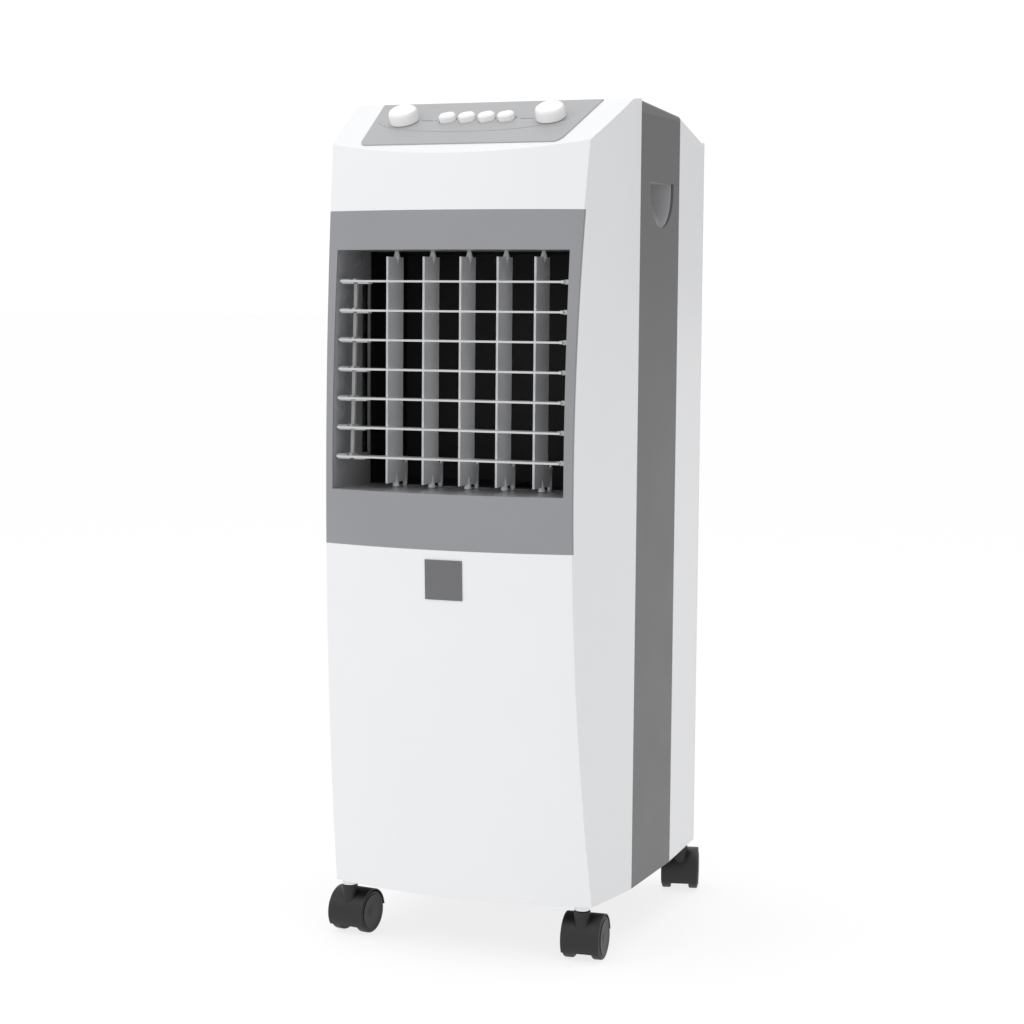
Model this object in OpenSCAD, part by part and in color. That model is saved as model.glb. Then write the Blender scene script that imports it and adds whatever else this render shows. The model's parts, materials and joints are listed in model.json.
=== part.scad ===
// Portable evaporative cooler: a tower body on four casters, with a louvred outlet, a control
// slope, a blower, a wetted pad in a cassette at the back and a water tank that slides out.
// Origin: on the floor under the middle of the body. +X is the right side, -Y the front.

/* [Body] */
// Height from the floor to the ridge
overall_h = 780; // [760:1:940]
// Width across the side bands
body_w = 278; // [270:1:340]
// Depth from the fullest point of the front to the back
body_d = 357; // [345:1:430]
// Height of the underside above the floor
ground_gap = 52; // [51:0.5:58]
// Thickness of the shells
wall = 2.5; // [2:0.1:3]
// Radius of the front in plan
bow_r = 446; // [420:1:600]
// Radius of the front seen from the side
rise_r = 2100; // [1900:10:3000]
// Height of the fullest point above the underside
belly_up = 388; // [340:1:450]
// Radius of the cheeks in plan
cheek_r = 940; // [800:10:1400]
// Angle at which the cheeks meet the side bands
cheek_turn = 5.7; // [4:0.1:7]
// Width across the back
back_w = 265; // [255:1:330]
// Depth from the front to the side bands
front_d = 134.5; // [130:0.5:150]
// Depth of the side bands
band_d = 114; // [100:1:130]
// Height of the top cap
cap_h = 12; // [10:0.5:16]
// Fall of the roof over the side bands
cap_fall = 6.5; // [4:0.5:10]
// Fall of the roof behind the side bands
back_fall = 20.5; // [12:0.5:28]

/* [Control slope] */
// Depth from the front to the ridge
ridge_d = 117.5; // [112:0.5:124]
// Slope of the control panel
slope = 28; // [24:0.5:32]
// Width of the panel at the ridge
panel_w = 218; // [200:1:224]
// Width of the panel at its lower edge
panel_low_w = 193; // [180:1:200]
// Length of the panel down the slope
panel_l = 92; // [88:1:94]
// Height of the panel above the shell
panel_proud = 1; // [0.5:0.1:1.5]
// Thickness of the panel
panel_t = 2; // [1.8:0.1:2.4]
// Distance of the knobs and buttons below the ridge
controls_down = 41; // [38:1:46]
// Half the distance between the knobs
knob_x = 72; // [68:1:80]
// Radius of a knob
knob_r = 13.5; // [11:0.5:15]
// Height of a knob
knob_h = 13.5; // [10:0.5:16]
// Radius of a knob shaft
knob_shaft_r = 3; // [2.5:0.1:4]
// Distance between buttons
button_pitch = 19.2; // [18:0.1:21]
// Width of a button
button_w = 15.5; // [12:0.5:16]
// Length of a button down the slope
button_l = 12.5; // [10:0.5:14]
// Height of a button above the shell
button_h = 7; // [6:0.5:9]
// Slant of the buttons
button_slant = 24; // [0:1:30]

/* [Outlet] */
// Width of the outlet
outlet_w = 224.6; // [187:0.2:228]
// Height of the outlet
outlet_h = 216; // [200:1:240]
// Distance from the ridge down to the outlet
outlet_down = 138.5; // [130:0.5:150]
// Height of the bezel above the outlet
bezel_above = 35; // [20:1:40]
// Height of the bezel below the outlet
bezel_below = 50; // [20:1:56]
// Distance from the highest louvre's pivot back to the vanes' pivots
vane_behind = 34.7; // [34:0.1:38]
// Distance from the vanes back to the end of the duct
duct_behind = 5.5; // [4:0.5:10]
// Wall of the duct
duct_t = 2.4; // [2:0.1:3]
// Height of the lowest louvre above the outlet's floor
louvre_low = 29.6; // [26:0.1:34]
// Distance of the highest louvre below the outlet's top
louvre_high = 28; // [24:0.1:32]
// Width of a louvre from front to back
louvre_chord = 19; // [14:0.5:21]
// Thickness of a louvre
louvre_t = 1.8; // [1.4:0.1:2.4]
// Distance from a louvre's pivot to its link pin
louvre_arm = 13; // [11:0.5:14]
// Distance from the sides of the outlet to the outer vanes
vane_side = 40.1; // [34:0.1:44]
// Width of a vane from front to back
vane_chord = 44; // [36:0.5:46]
// Thickness of a vane
vane_t = 2; // [1.6:0.1:2.6]
// Distance from a vane's pivot to its link peg
vane_arm = 20; // [16:0.5:21]
// Radius of the louvre and vane pivots
pivot_r = 1.6; // [1.4:0.05:2]

/* [Air path] */
// Radius of the blower wheel
wheel_r = 82; // [70:1:86]
// Width of the blower wheel
wheel_w = 54; // [44:1:58]
// Radius of the blower's housing
scroll_r = 99; // [94:1:101]
// Depth of the blower's housing
scroll_d = 66; // [62:1:70]
// Radius of the fan motor
motor_r = 38; // [30:1:42]
// Radius of the fan shaft
shaft_r = 4; // [3:0.1:5]

/* [Water] */
// Width of the tank
tank_w = 190; // [158:1:194]
// Length of the tank
tank_l = 212; // [180:1:216]
// Height of the tank
tank_h = 136; // [110:1:138]
// Width of the pad cassette
cassette_w = 206; // [190:1:210]
// Depth of the pad cassette
cassette_d = 38; // [34:1:42]
// Thickness of the pad
pad_t = 22; // [16:0.5:24]
// Radius of the hose
hose_r = 4; // [3:0.5:5]

/* [Casters] */
// Half the distance between the front stems, left to right
stem_x = 117; // [110:0.5:117.5]
// Half the distance between the back stems, left to right
stem_back_x = 120.5; // [112:0.5:121]
// Distance of the front stems behind the front
stem_front_d = 62; // [61.5:0.5:80]
// Distance of the back stems from the back
stem_back_d = 16.5; // [16:0.5:30]
// Radius of a wheel
wheel_roll_r = 20; // [18:0.5:20.5]
// Width of a wheel
wheel_roll_w = 9; // [7:0.5:10]
// Distance of a caster's axle from its stem
trail = 12; // [10:0.5:16]
// Radius of a stem
stem_r = 3.5; // [3:0.1:4]

/* [Hidden] */
$fn = 64;

// Clearances
fit = 0.05;
slip = 0.4;
gap = 0.6;

// Places shared by several pieces
front_y = -body_d / 2;
back_y = body_d / 2;
band_y0 = front_y + front_d;
band_y1 = band_y0 + band_d;
belly_z = ground_gap + belly_up;
bow_y = front_y + bow_r;
ridge_y = front_y + ridge_d;
ridge_z = overall_h - 1.5;
cap_z = overall_h - cap_h;
cheek_x = body_w / 2 - cheek_r * cos(cheek_turn);
cheek_y = band_y0 + cheek_r * sin(cheek_turn);
outlet_top = overall_h - outlet_down;
outlet_floor = outlet_top - outlet_h;
bezel_top = outlet_top + bezel_above;
bezel_low = outlet_floor - bezel_below;
inner_back = back_y - wall;

// How far the front falls back from its fullest point at a height z
function fall(z) = pow(z - belly_z, 2) / (2 * rise_r);
function sag(x) = x * x / (2 * bow_r);

// Outline moved inward by t; the outline runs anticlockwise
function unit(v) = v / norm(v);
function left_of(v) = [-v[1], v[0]];
function inset(p, t) = [for (i = [0:len(p) - 1])
    let (n = len(p), u = left_of(unit(p[i] - p[(i + n - 1) % n])),
         v = left_of(unit(p[(i + 1) % n] - p[i])))
    p[i] + t * (u + v) / (1 + u * v)];

side_outline = [[front_y - 20, 0], [back_y, 0], [back_y, overall_h - cap_fall - back_fall],
    [band_y1, overall_h - cap_fall], [ridge_y + 14, overall_h], [ridge_y, ridge_z],
    [front_y - 20, ridge_z - (ridge_d + 20) * tan(slope)]];
plan_outline = [[-body_w / 2, front_y - 20], [body_w / 2, front_y - 20], [body_w / 2, band_y1],
    [back_w / 2, back_y - 9], [back_w / 2 - 9, back_y], [9 - back_w / 2, back_y],
    [-back_w / 2, back_y - 9], [-body_w / 2, band_y1]];

// Round of the front, bowed in plan and from top to bottom, moved inward by t
module barrel(t, z0) {
    translate([0, bow_y, 0])
        rotate_extrude($fn = 360)
            intersection() {
                translate([bow_r - rise_r, belly_z]) circle(r = rise_r - t, $fn = 720);
                translate([0, z0]) square([bow_r + 2, overall_h - z0]);
            }
}
// The body's outer form, moved inward by t and reaching from z0 to the roof
module form(t, z0) {
    intersection() {
        barrel(t, z0);
        rotate([90, 0, 90])
            translate([0, 0, -body_w / 2 - 1])
                linear_extrude(body_w + 2) polygon(inset(side_outline, t));
        translate([0, 0, z0])
            linear_extrude(overall_h - z0)
                intersection() {
                    polygon(inset(plan_outline, t));
                    translate([cheek_x, cheek_y]) circle(r = cheek_r - t, $fn = 720);
                    translate([-cheek_x, cheek_y]) circle(r = cheek_r - t, $fn = 720);
                }
    }
}
// The part of the body's shell between two depths and two heights
module shell(y0, y1, z0, z1) {
    intersection() {
        difference() {
            form(0, ground_gap);
            form(wall, ground_gap - 5);
        }
        block([-body_w, y0, z0], [body_w, y1, z1]);
    }
}
module block(a, b) { translate(a) cube(b - a); }
module along_y(p, r, l) { translate(p) rotate([-90, 0, 0]) cylinder(r = r, h = l); }
module along_x(p, r, l) { translate(p) rotate([0, 90, 0]) cylinder(r = r, h = l); }
// Frame on the slope: origin at the ridge, y up the slope, z out of it
module on_slope(x = 0, y = 0, z = 0) {
    translate([0, ridge_y, ridge_z]) rotate([slope, 0, 0]) translate([x, y, z]) children();
}

// ---- Outlet ----
module panel_outline(t) {
    a = panel_w / 2 - t;
    b = panel_low_w / 2 - t;
    r = 7;
    difference() {
        polygon([[-b, t - panel_l], [b, t - panel_l], [a, -1 - t], [-a, -1 - t]]);
        for (s = [-1, 1]) translate([s * b, t - panel_l]) rotate(s < 0 ? 0 : 90) corner(r);
    }
}
// A square corner less its round of radius r
module corner(r) {
    difference() {
        translate([-1, -1]) square(r + 1);
        translate([r, r]) circle(r);
    }
}
module bezel_zone() {
    intersection() {
        difference() {
            block([-body_w, front_y - 1, bezel_low], [body_w, band_y0, bezel_top]);
            barrel(wall, 0);
        }
        form(0, ground_gap);
    }
}
module front_shell() {
    color("white") difference() {
        shell(front_y - 1, band_y0, ground_gap, overall_h);
        bezel_zone();
        on_slope(0, 0, panel_proud - panel_t)
            linear_extrude(panel_t * 2) panel_outline(-0.1);
        on_slope(0, 0, -20) linear_extrude(40) panel_outline(7);
    }
}
module outlet_bezel() {
    color("gray") difference() {
        bezel_zone();
        block([-outlet_w / 2, front_y - 2, outlet_floor], [outlet_w / 2, band_y0, outlet_top]);
    }
}
// ---- Louvres ----
louvres = 7;
louvre_pitch = (outlet_h - louvre_low - louvre_high) / (louvres - 1);
louvre_back = 9.5;
function louvre_z(i) = outlet_floor + louvre_low + (i - 1) * louvre_pitch;
lean = (fall(louvre_z(louvres)) - fall(louvre_z(1))) / (louvre_z(louvres) - louvre_z(1));
louvre_y1 = front_y + sag(outlet_w / 2) + fall(louvre_z(1)) + louvre_back;
function louvre_y(i) = louvre_y1 + (louvre_z(i) - louvre_z(1)) * lean;
louvre_end = outlet_w / 2 - 1.6;
link_x = -outlet_w / 2 + 9.5;
link_t = 3;
ear_t = 2.5;

module outlet_duct() {
    notch_y = duct_back - 18;
    color("dimgray") difference() {
        intersection() {
            difference() {
                block([-outlet_w / 2 - duct_t, front_y, outlet_floor - duct_t],
                    [outlet_w / 2 + duct_t, duct_back, outlet_top + duct_t]);
                block([-outlet_w / 2, front_y - 1, outlet_floor],
                    [outlet_w / 2, duct_back + 1, outlet_top]);
            }
            barrel(wall, 0);
        }
        for (i = [1:louvres])
            along_x([-outlet_w / 2 - 5, louvre_y(i), louvre_z(i)], pivot_r + fit, outlet_w + 10);
        block([-outlet_w / 2 - 5, notch_y, louvre_z(1)], [-outlet_w / 2 + 1, duct_back - 2,
            louvre_z(louvres)]);
        for (i = [1:vanes]) {
            translate([vane_x(i), vane_y, outlet_floor - 5])
                cylinder(r = pivot_r + fit, h = outlet_h + 10);
            block([vane_x(i) - vane_arm * sin(vane_swing) - 3.2, vane_y + vane_arm - 6.5,
                outlet_floor - 5], [vane_x(i) + vane_arm * sin(vane_swing) + 3.2,
                vane_y + vane_arm + 2.6, outlet_floor + 1]);
        }
    }
}
pin_l = 12;
module louvre(i) {
    y = louvre_y(i);
    z = louvre_z(i);
    f = louvre_chord / 2;
    color("darkgray") difference() {
        union() {
            block([-louvre_end + 3, y - f, z - louvre_t / 2], [louvre_end - 3, y + f,
                z + louvre_t / 2]);
            block([-louvre_end, y - f + 5, z - louvre_t / 2], [louvre_end, y + f - 3,
                z + louvre_t / 2]);
            for (s = [-1, 1]) {
                along_x([s * (outlet_w / 2 + duct_t - 0.4 - pin_l / 2) - pin_l / 2, y, z], pivot_r,
                    pin_l);
                along_x([s * (louvre_end - 2.5) - 2.5, y, z], pivot_r + 0.6, 5);
                ear_x = link_x + s * (link_t / 2 + slip + ear_t / 2) - ear_t / 2;
                block([ear_x, y + 2, z - 2.2], [ear_x + ear_t, y + louvre_arm, z + 2.2]);
                along_x([ear_x, y + louvre_arm, z], 2.2, ear_t);
            }
            along_x([link_x - 5, y + louvre_arm, z], 1.2, 10);
            block([link_x + 9, y - 3, z - 2.4], [link_x + 20, y + 5, z]);
            block([link_x - 7, y - 3, z - 2.4], [link_x + 5, y + 2, z]);
        }
        block([link_x - link_t / 2 - slip, y + 6, z - 4], [link_x + link_t / 2 + slip,
            y + louvre_arm - 1.8, z + 4]);
    }
}
module louvre_link() {
    tall = louvre_z(louvres) - louvre_z(1);
    color("darkgray") difference() {
        translate([link_x - link_t / 2, louvre_y(1) + louvre_arm, louvre_z(1)])
            rotate([-atan(lean), 0, 0]) {
                block([0, -1.4, 0], [link_t, 1.9, tall / cos(atan(lean))]);
                for (i = [0:louvres - 1])
                    along_x([0, 0, i * louvre_pitch / cos(atan(lean))], 2.4, link_t);
            }
        for (i = [1:louvres])
            along_x([link_x - 5, louvre_y(i) + louvre_arm, louvre_z(i)], 1.2 + fit, 10);
    }
}
// ---- Vanes ----
vanes = 5;
vane_pitch = (outlet_w - 2 * vane_side) / (vanes - 1);
vane_swing = 30;
vane_y = louvre_y(louvres) + vane_behind;
vane_front = 20.5;
duct_back = vane_y - vane_front + vane_chord + duct_behind;
function vane_x(i) = (i - (vanes + 1) / 2) * vane_pitch;
vane_low = outlet_floor + 4;
vane_high = outlet_top - 5.5;
link_z = outlet_floor - duct_t - 1.6;
foot_l = 11;
module vane(i) {
    x = vane_x(i);
    back = vane_y - vane_front + vane_chord;
    color("darkgray") {
        translate([x, vane_y, outlet_floor - duct_t + 0.4]) cylinder(r = pivot_r, h = pin_l);
        translate([x, vane_y, outlet_top + duct_t - 0.4 - pin_l])
            cylinder(r = pivot_r, h = pin_l);
        difference() {
            block([x - vane_t / 2, vane_y - vane_front, vane_low], [x + vane_t / 2, back,
                vane_high]);
            block([x - 5, back - foot_l, vane_low + 22], [x + 5, back + 1, vane_high + 1]);
            along_x([x - 5, back - foot_l + 5, vane_low + 22], 5, 10);
        }
        translate([x, vane_y, outlet_floor + 0.4]) cylinder(r1 = 3.4, r2 = 1.2, h = 11);
        translate([x, vane_y, outlet_top - 0.4]) rotate([180, 0, 0]) {
            cylinder(r1 = 1.8, r2 = 3.2, h = 5);
            translate([0, 0, 5]) cylinder(r1 = 3.2, r2 = 1, h = 6);
        }
        translate([x, vane_y + vane_arm, link_z - 3.4])
            cylinder(r = pivot_r, h = vane_low + 2 - link_z + 3.4);
        translate([x, vane_y + vane_arm, outlet_floor + 1.2])
            cylinder(r1 = 2.3, r2 = 1.1, h = 12);
    }
}
crank_y = vane_y - 4;
crank_r = 8;
module vane_link() {
    y = vane_y + vane_arm;
    yoke_w = 2 * crank_r + 8;
    color("dimgray") difference() {
        union() {
            block([vane_x(1) - 5, y - 4, link_z - 3], [vane_x(vanes) + 5, y + 4, link_z]);
            block([-7, crank_y - yoke_w / 2, link_z - 3], [7, y, link_z]);
        }
        for (i = [1:vanes])
            translate([vane_x(i), y, link_z - 5]) cylinder(r = pivot_r + fit, h = 10);
        block([-2.2, crank_y - yoke_w / 2 + 3, link_z - 4], [2.2, crank_y + yoke_w / 2 - 3,
            link_z + 1]);
    }
}
disc_z = link_z - 12;
module swing_crank() {
    color("ivory") difference() {
        union() {
            translate([0, crank_y, disc_z]) cylinder(r = crank_r + 4, h = 3);
            translate([crank_r, crank_y, disc_z]) cylinder(r = 1.6, h = 8);
        }
        translate([0, crank_y, disc_z - 1]) cylinder(r = 1.5 + fit, h = 5);
    }
}
module swing_motor() {
    body_h = 14;
    top = disc_z - 1.5;
    color("silver") {
        translate([0, crank_y, top - body_h]) cylinder(r = 17, h = body_h);
        translate([0, crank_y, top]) cylinder(r = 1.5, h = 4.3);
        for (s = [-1, 1]) {
            block([s * 21 - 6, crank_y - 5, top - 3], [s * 21 + 6, crank_y + 5, top]);
            translate([s * 24, crank_y, top]) cylinder(r = 3, h = outlet_floor - duct_t - top);
        }
    }
}
// ---- Shell pieces behind the front ----
handle_y = band_y0 + 62;
handle_w = 68;
handle_top = overall_h - 72;
handle_low = overall_h - 118;
// Outline of the hand hold seen from the side: flat top and round underside
module handle_outline(t) {
    r = handle_w / 2 - t;
    intersection() {
        union() {
            translate([0, -8]) circle(r = r);
            translate([-r, -8]) square([2 * r, 40]);
        }
        translate([-r, handle_low - handle_top + t]) square([2 * r, handle_top - handle_low - 2 * t]);
    }
}
module handle_prism(t, x0, x1) {
    translate([x0, handle_y, handle_top]) rotate([90, 0, 90])
        linear_extrude(x1 - x0) handle_outline(t);
}
module side_band(s) {
    color("gray") difference() {
        intersection() {
            shell(band_y0, band_y1, ground_gap, cap_z);
            block([s < 0 ? -body_w : 0, band_y0, 0], [s < 0 ? 0 : body_w, band_y1, overall_h]);
        }
        if (s > 0) handle_prism(0, body_w / 2 - 10, body_w / 2 + 5);
        else handle_prism(0, -body_w / 2 - 5, 10 - body_w / 2);
    }
}
module top_cap() {
    color("silver") shell(band_y0, band_y1, cap_z, overall_h + 1);
}
cup_d = 26;
scoop_h = 32;
// Cup behind the hand hold; its floor slopes up from the back wall to the lower lip
module handle_cup() {
    x1 = body_w / 2 - wall;
    x0 = x1 - cup_d + wall;
    difference() {
        handle_prism(-wall, x1 - cup_d, x1);
        intersection() {
            handle_prism(0, x0, x1 + 1);
            translate([0, band_y1, 0]) rotate([90, 0, 0]) linear_extrude(band_d)
                polygon([[x0 - 1, handle_low + scoop_h], [x0, handle_low + scoop_h], [x1, handle_low],
                    [x1 + 2, handle_low], [x1 + 2, overall_h], [x0 - 1, overall_h]]);
        }
    }
}
module handle_cups() {
    color("dimgray") {
        handle_cup();
        mirror([1, 0, 0]) handle_cup();
    }
}
stem_at = [[stem_x, front_y + stem_front_d], [stem_back_x, back_y - stem_back_d]];
boss_r = 9.5;
module at_stems() {
    for (s = [-1, 1]) for (p = stem_at) translate([s * p[0], p[1], 0]) children();
}
base_t = 3;
tank_z = ground_gap + base_t + 2;
module base_plate() {
    color("gray") difference() {
        union() {
            intersection() {
                form(wall, ground_gap - 5);
                union() {
                    block([-body_w, front_y, ground_gap], [body_w, back_y, ground_gap + base_t]);
                    at_stems() translate([0, 0, ground_gap]) cylinder(r = boss_r, h = 18);
                }
            }
            for (s = [-1, 1]) block([s * (tank_w / 2 + 3) - 1.5, back_y - tank_l, ground_gap],
                [s * (tank_w / 2 + 3) + 1.5, inner_back, tank_z + 12]);
        }
        at_stems() translate([0, 0, ground_gap - 1]) cylinder(r = stem_r, h = 16);
    }
}
// ---- Back ----
tank_top = tank_z + tank_h;
cassette_low = tank_top + 66;
cassette_high = overall_h - 80;
screw_x = back_w / 2 - 15;
screw_z = [tank_top + 34, (tank_top + overall_h) / 2, overall_h - 56];
gland_x = -84;
gland_z = tank_top + 36;
gland_r = 3.6;
latch_z = tank_top + 16;
// Side walls behind the bands, with the edge strip of the roof; they end at a seam near the back
side_seam = back_y - 12;
roof_x = back_w / 2 - wall - 12;
module side_zone(s) {
    block([s < 0 ? -body_w : roof_x, 0, 0], [s < 0 ? -roof_x : body_w, side_seam, overall_h + 1]);
}
module rear_side(s) {
    color("white") intersection() {
        shell(band_y1, side_seam, ground_gap, overall_h);
        side_zone(s);
    }
}
module rear_shell() {
    cx = cassette_w / 2 + gap;
    color("white") difference() {
        union() {
            difference() {
                shell(band_y1, back_y + 1, ground_gap, overall_h);
                for (s = [-1, 1]) side_zone(s);
            }
            difference() {
                block([-cx - 2, back_y - cassette_d - 2, cassette_low - gap - 2],
                    [cx + 2, inner_back, cassette_high + gap + 2]);
                block([6 - cx, 0, cassette_low + 6], [cx - 6, back_y, cassette_high - 6]);
            }
            along_y([0, inner_back - 6, latch_z], 6, 6);
        }
        block([-cx, back_y - cassette_d - slip, cassette_low - gap], [cx, back_y + 1,
            cassette_high + gap]);
        block([-tank_w / 2 - gap, inner_back - 1, ground_gap - 1], [tank_w / 2 + gap, back_y + 1,
            tank_top + gap]);
        along_y([0, inner_back - 7, latch_z], 2.5 + fit, 20);
        along_y([gland_x, inner_back - 1, gland_z], 7, 10);
        for (s = [-1, 1]) for (z = screw_z) along_y([s * screw_x, inner_back - 1, z], 1.6, 10);
    }
}
module screws() {
    color("silver")
        for (s = [-1, 1]) for (z = screw_z) {
            along_y([s * screw_x, back_y - 12, z], 1.6, 12);
            along_y([s * screw_x, back_y, z], 3.5, 1.6);
        }
}
module cord_gland() {
    color("black") difference() {
        union() {
            along_y([gland_x, inner_back - 8, gland_z], 7, 8 + wall);
            along_y([gland_x, inner_back - 3, gland_z], 9.5, 3);
            along_y([gland_x, back_y, gland_z], 9.5, 3);
        }
        along_y([gland_x, inner_back - 9, gland_z], gland_r, 20);
    }
}
module pad_cassette() {
    x = cassette_w / 2;
    y = back_y - cassette_d;
    rail = 7;
    color("whitesmoke") {
        difference() {
            block([-x, y, cassette_low], [x, back_y, cassette_high]);
            block([2.4 - x, y - 1, cassette_low + 2.4], [x - 2.4, back_y + 1, cassette_high - 2.4]);
        }
        for (z = [cassette_low + rail:12:cassette_high - rail])
            block([1 - x, back_y - 4, z], [x - 1, back_y, z + 3.6]);
        for (i = [-1, 0, 1]) block([i * x / 2 - 1.5, back_y - 5.5, cassette_low + 1],
            [i * x / 2 + 1.5, back_y - 1.5, cassette_high - 1]);
    }
}
module cooling_pad() {
    x = cassette_w / 2 - 2.4;
    color("peru") block([-x, back_y - cassette_d + 1, cassette_low + 2.4],
        [x, back_y - cassette_d + 1 + pad_t, cassette_high - 2.4]);
}
module dust_filter() {
    x = cassette_w / 2 - 3;
    y = back_y - 9;
    bars = 9;
    color("black") difference() {
        block([-x, y - 2, cassette_low + 3], [x, y, cassette_high - 3]);
        for (i = [0:3]) for (j = [0:bars - 1]) {
            w = (2 * x - 15) / 4;
            h = (cassette_high - cassette_low - 6 - 3 * (bars + 1)) / bars;
            block([3 - x + i * (w + 3), y - 3, cassette_low + 6 + j * (h + 3)],
                [3 - x + i * (w + 3) + w, y + 1, cassette_low + 6 + j * (h + 3) + h]);
        }
    }
}
tray_z = cassette_high + gap + 2;
module water_tray() {
    x = cassette_w / 2 - 4;
    y = back_y - cassette_d + 4;
    color("white") difference() {
        block([-x, y, tray_z], [x, y + 22, tray_z + 16]);
        block([2 - x, y + 2, tray_z + 2], [x - 2, y + 20, tray_z + 17]);
        for (i = [-8:8]) translate([i * (x - 6) / 8, y + 11, tray_z - 1]) cylinder(r = 1.2, h = 5);
        along_x([x - 3, hose_y, tray_z + 9], hose_r, 5);
    }
}
hose_y = back_y - cassette_d + 15;
hose_x = cassette_w / 2 + 14;
pump_x = tank_w / 2 - 27;
bend = 11;
pump_top = tank_z + 52;
module elbow(p, turn) {
    translate(p) rotate(turn) rotate_extrude(angle = 90) translate([bend, 0]) circle(hose_r);
}
module hose() {
    low = tank_top + 18;
    high = tray_z + 9;
    color("lightgray") {
        translate([pump_x, hose_y, pump_top]) cylinder(r = hose_r, h = low - bend - pump_top);
        elbow([pump_x + bend, hose_y, low - bend], [90, 0, 180]);
        along_x([pump_x + bend, hose_y, low], hose_r, hose_x - pump_x - 2 * bend);
        elbow([hose_x - bend, hose_y, low + bend], [-90, 0, 0]);
        translate([hose_x, hose_y, low + bend]) cylinder(r = hose_r, h = high - low - 2 * bend);
        elbow([hose_x - bend, hose_y, high - bend], [90, 0, 0]);
        along_x([cassette_w / 2 - 6, hose_y, high], hose_r, hose_x - bend - cassette_w / 2 + 6);
    }
}
module pump() {
    y = hose_y;
    arm_x = pump_x - 26;
    color("black") {
        block([pump_x - 20, y - 17, tank_z + 8], [pump_x + 12, y + 14, pump_top]);
        block([arm_x, y - 6, tank_z + 20], [arm_x + 8, y + 6, tank_top + 9]);
        block([arm_x - 6, y - 10, tank_top + 5], [arm_x + 14, inner_back, tank_top + 9]);
    }
}
// Finger pocket in the tank's back wall, grown by t
grip_x = tank_w / 2 - 59;
module grip_pocket(t, y1) {
    block([-grip_x - t, back_y - 16 - t, tank_top - 28 - t],
        [grip_x + t, y1, tank_top - 12 + t]);
}
module tank() {
    x = tank_w / 2;
    y0 = back_y - tank_l;
    t = 2.4;
    color("lightsteelblue") difference() {
        union() {
            difference() {
                block([-x, y0, tank_z], [x, back_y, tank_top]);
                block([t - x, y0 + t, tank_z + t], [x - t, back_y - t, tank_top + 1]);
            }
            grip_pocket(t, back_y - 1);
        }
        grip_pocket(0, back_y + 1);
    }
}
module tank_latch() {
    color("dimgray") {
        along_y([0, inner_back - 6, latch_z], 2.5, 6 + wall + 1);
        along_y([0, back_y + 0.4, latch_z], 6, 3.6);
        block([0, back_y + 0.4, latch_z - 4.5], [27, back_y + 4, latch_z + 4.5]);
    }
}
// ---- Air path ----
scroll_y1 = duct_back + 84;
scroll_y0 = scroll_y1 - scroll_d;
mouth_h = scroll_r + 3;
scroll_z = outlet_floor - duct_t - 4 - mouth_h;
hood_t = 2.4;
mouth_x0 = 14;
mouth_x1 = min(scroll_r, outlet_w / 2);
seam = (scroll_y0 + scroll_y1) / 2;
module volute(t) {
    circle(r = scroll_r - t, $fn = 128);
    translate([mouth_x0 + t, 0]) square([mouth_x1 - mouth_x0 - 2 * t, mouth_h]);
}
// Volute seen from the front, between two depths
module volute_prism(t, y0, y1) {
    translate([0, y1, scroll_z]) rotate([90, 0, 0]) linear_extrude(y1 - y0) volute(t);
}
module scroll_front() {
    color("dimgray") difference() {
        volute_prism(0, scroll_y0, seam);
        volute_prism(hood_t, scroll_y0 + hood_t, seam + 1);
        block([mouth_x0 + hood_t, scroll_y0 + hood_t, scroll_z + mouth_h - 42],
            [mouth_x1 - hood_t, seam + 1, scroll_z + mouth_h + 1]);
        along_y([0, scroll_y0 - 1, scroll_z], 12, 5);
    }
}
module scroll_rear() {
    inlet_r = wheel_r - 20;
    color("dimgray") difference() {
        union() {
            volute_prism(0, seam, scroll_y1);
            along_y([0, scroll_y1, scroll_z], inlet_r + 5, 5);
        }
        volute_prism(hood_t, seam - 1, scroll_y1 - hood_t);
        block([mouth_x0 + hood_t, seam - 1, scroll_z + mouth_h - 42],
            [mouth_x1 - hood_t, scroll_y1 - hood_t, scroll_z + mouth_h + 1]);
        along_y([0, seam, scroll_z], inlet_r, scroll_d);
    }
}
module air_hood() {
    x = outlet_w / 2 + duct_t;
    z0 = scroll_z + mouth_h;
    z1 = outlet_top + duct_t;
    color("black") difference() {
        block([-x, duct_back, z0], [x, scroll_y1, z1]);
        block([hood_t - x, duct_back - 1, outlet_floor], [x - hood_t, scroll_y1 - hood_t,
            z1 - hood_t]);
        block([mouth_x0 + hood_t, scroll_y0 + hood_t, z0 - 1],
            [mouth_x1 - hood_t, scroll_y1 - hood_t, outlet_floor + 1]);
    }
}
blade_count = 30;
wheel_y = scroll_y0 + hood_t + 4;
module blower_wheel() {
    color("ivory") {
        along_y([0, wheel_y, scroll_z], wheel_r, 2);
        along_y([0, wheel_y, scroll_z], 12, 20);
        along_y([0, scroll_y0 - 40, scroll_z], shaft_r, wheel_y - scroll_y0 + 42);
        translate([0, wheel_y + wheel_w, scroll_z]) rotate([90, 0, 0]) difference() {
            cylinder(r = wheel_r, h = 3);
            translate([0, 0, -1]) cylinder(r = wheel_r - 14, h = 5);
        }
        for (i = [0:blade_count - 1])
            translate([0, wheel_y + 1, scroll_z]) rotate([0, i * 360 / blade_count, 0])
                translate([wheel_r - 13, 0, 0]) rotate([0, 25, 0])
                    translate([0, 0, -0.6]) cube([12, wheel_w - 2, 1.2]);
    }
}
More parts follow.
